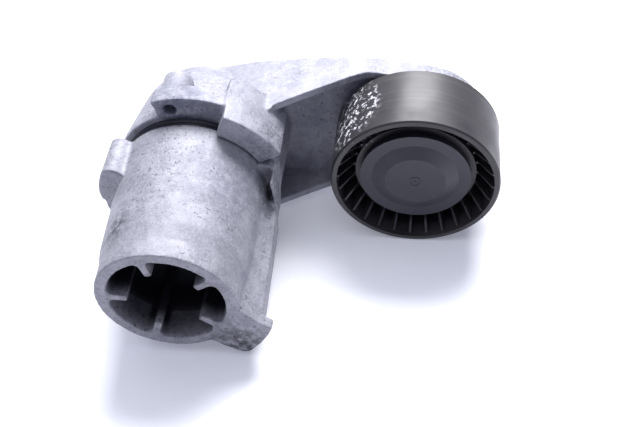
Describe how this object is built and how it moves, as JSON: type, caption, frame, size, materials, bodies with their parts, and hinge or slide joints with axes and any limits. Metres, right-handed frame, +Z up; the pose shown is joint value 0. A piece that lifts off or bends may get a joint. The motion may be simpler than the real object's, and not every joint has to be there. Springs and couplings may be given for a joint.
{
  "type": "belt tensioner with idler pulley",
  "caption": "Automatic belt tensioner: cast spring housing with a ribbed open end, sprung channel-section arm and a flat finned idler pulley.",
  "frame": {"origin": "on the arm's pivot axis, at the centre of the housing's front ring face", "axes": "+Y along the pivot axis from the ring face to the arm; +X towards the idler pulley; +Z up"},
  "size_m": [0.1768, 0.1206, 0.0824],
  "materials": {
    "housing_cast": "as-cast, stained",
    "arm_cast": "as-cast",
    "pivot_steel": "turned",
    "spring_steel": "phosphated",
    "friction_plastic": "moulded",
    "bushing_metal": "sintered bronze",
    "ring_plastic": "moulded",
    "pulley_plastic": "glass-filled, worn smooth",
    "cap_plastic": "moulded",
    "race_steel": "ground",
    "ball_steel": "polished",
    "cage_steel": "pressed",
    "seal_rubber": "satin",
    "fastener_steel": "zinc plated"
  },
  "bodies": {
    "housing": {"spring_housing": "housing_cast", "pivot_shaft": "pivot_steel", "front_thrust_washer": "friction_plastic", "rear_thrust_washer": "friction_plastic", "retaining_washer": "pivot_steel", "spring_seat": "friction_plastic", "torsion_spring": "spring_steel", "sealing_ring": "ring_plastic"},
    "arm": {"tensioner_arm": "arm_cast", "bushing_front": "bushing_metal", "bushing_rear": "bushing_metal", "damping_sleeve": "friction_plastic", "spring_cup": "friction_plastic", "slide_ring": "ring_plastic", "pulley_bolt": "fastener_steel", "bolt_washer": "fastener_steel", "bearing_inner_race": "race_steel", "bearing_spacer": "fastener_steel", "rear_dust_shield": "fastener_steel"},
    "pulley": {"pulley_wheel": "pulley_plastic", "bearing_outer_race": "race_steel", "bearing_seal_front": "seal_rubber", "bearing_seal_rear": "seal_rubber", "dust_cap": "cap_plastic"},
    "bearing_cage_set": {"bearing_cage": "cage_steel", "bearing_balls": "ball_steel"}
  },
  "joints": [
    {"name": "arm_pivot", "type": "hinge", "parent": "housing", "child": "arm", "pos_m": [0, 0.095, 0], "axis": [0, -1, 0], "range_deg": [0, 70], "stiffness_Nm_per_rad": 25, "springref_deg": -40.11},
    {"name": "pulley_spin", "type": "hinge", "parent": "arm", "child": "pulley", "pos_m": [0.0995, 0.088, 0.00664], "axis": [0, 1, 0], "continuous": true},
    {"name": "cage_spin", "type": "hinge", "parent": "arm", "child": "bearing_cage_set", "pos_m": [0.0995, 0.088, 0.00664], "axis": [0, 1, 0], "continuous": true}
  ],
  "couplings": [
    {"joint": "cage_spin", "follows": "pulley_spin", "ratio": 0.64062}
  ]
}
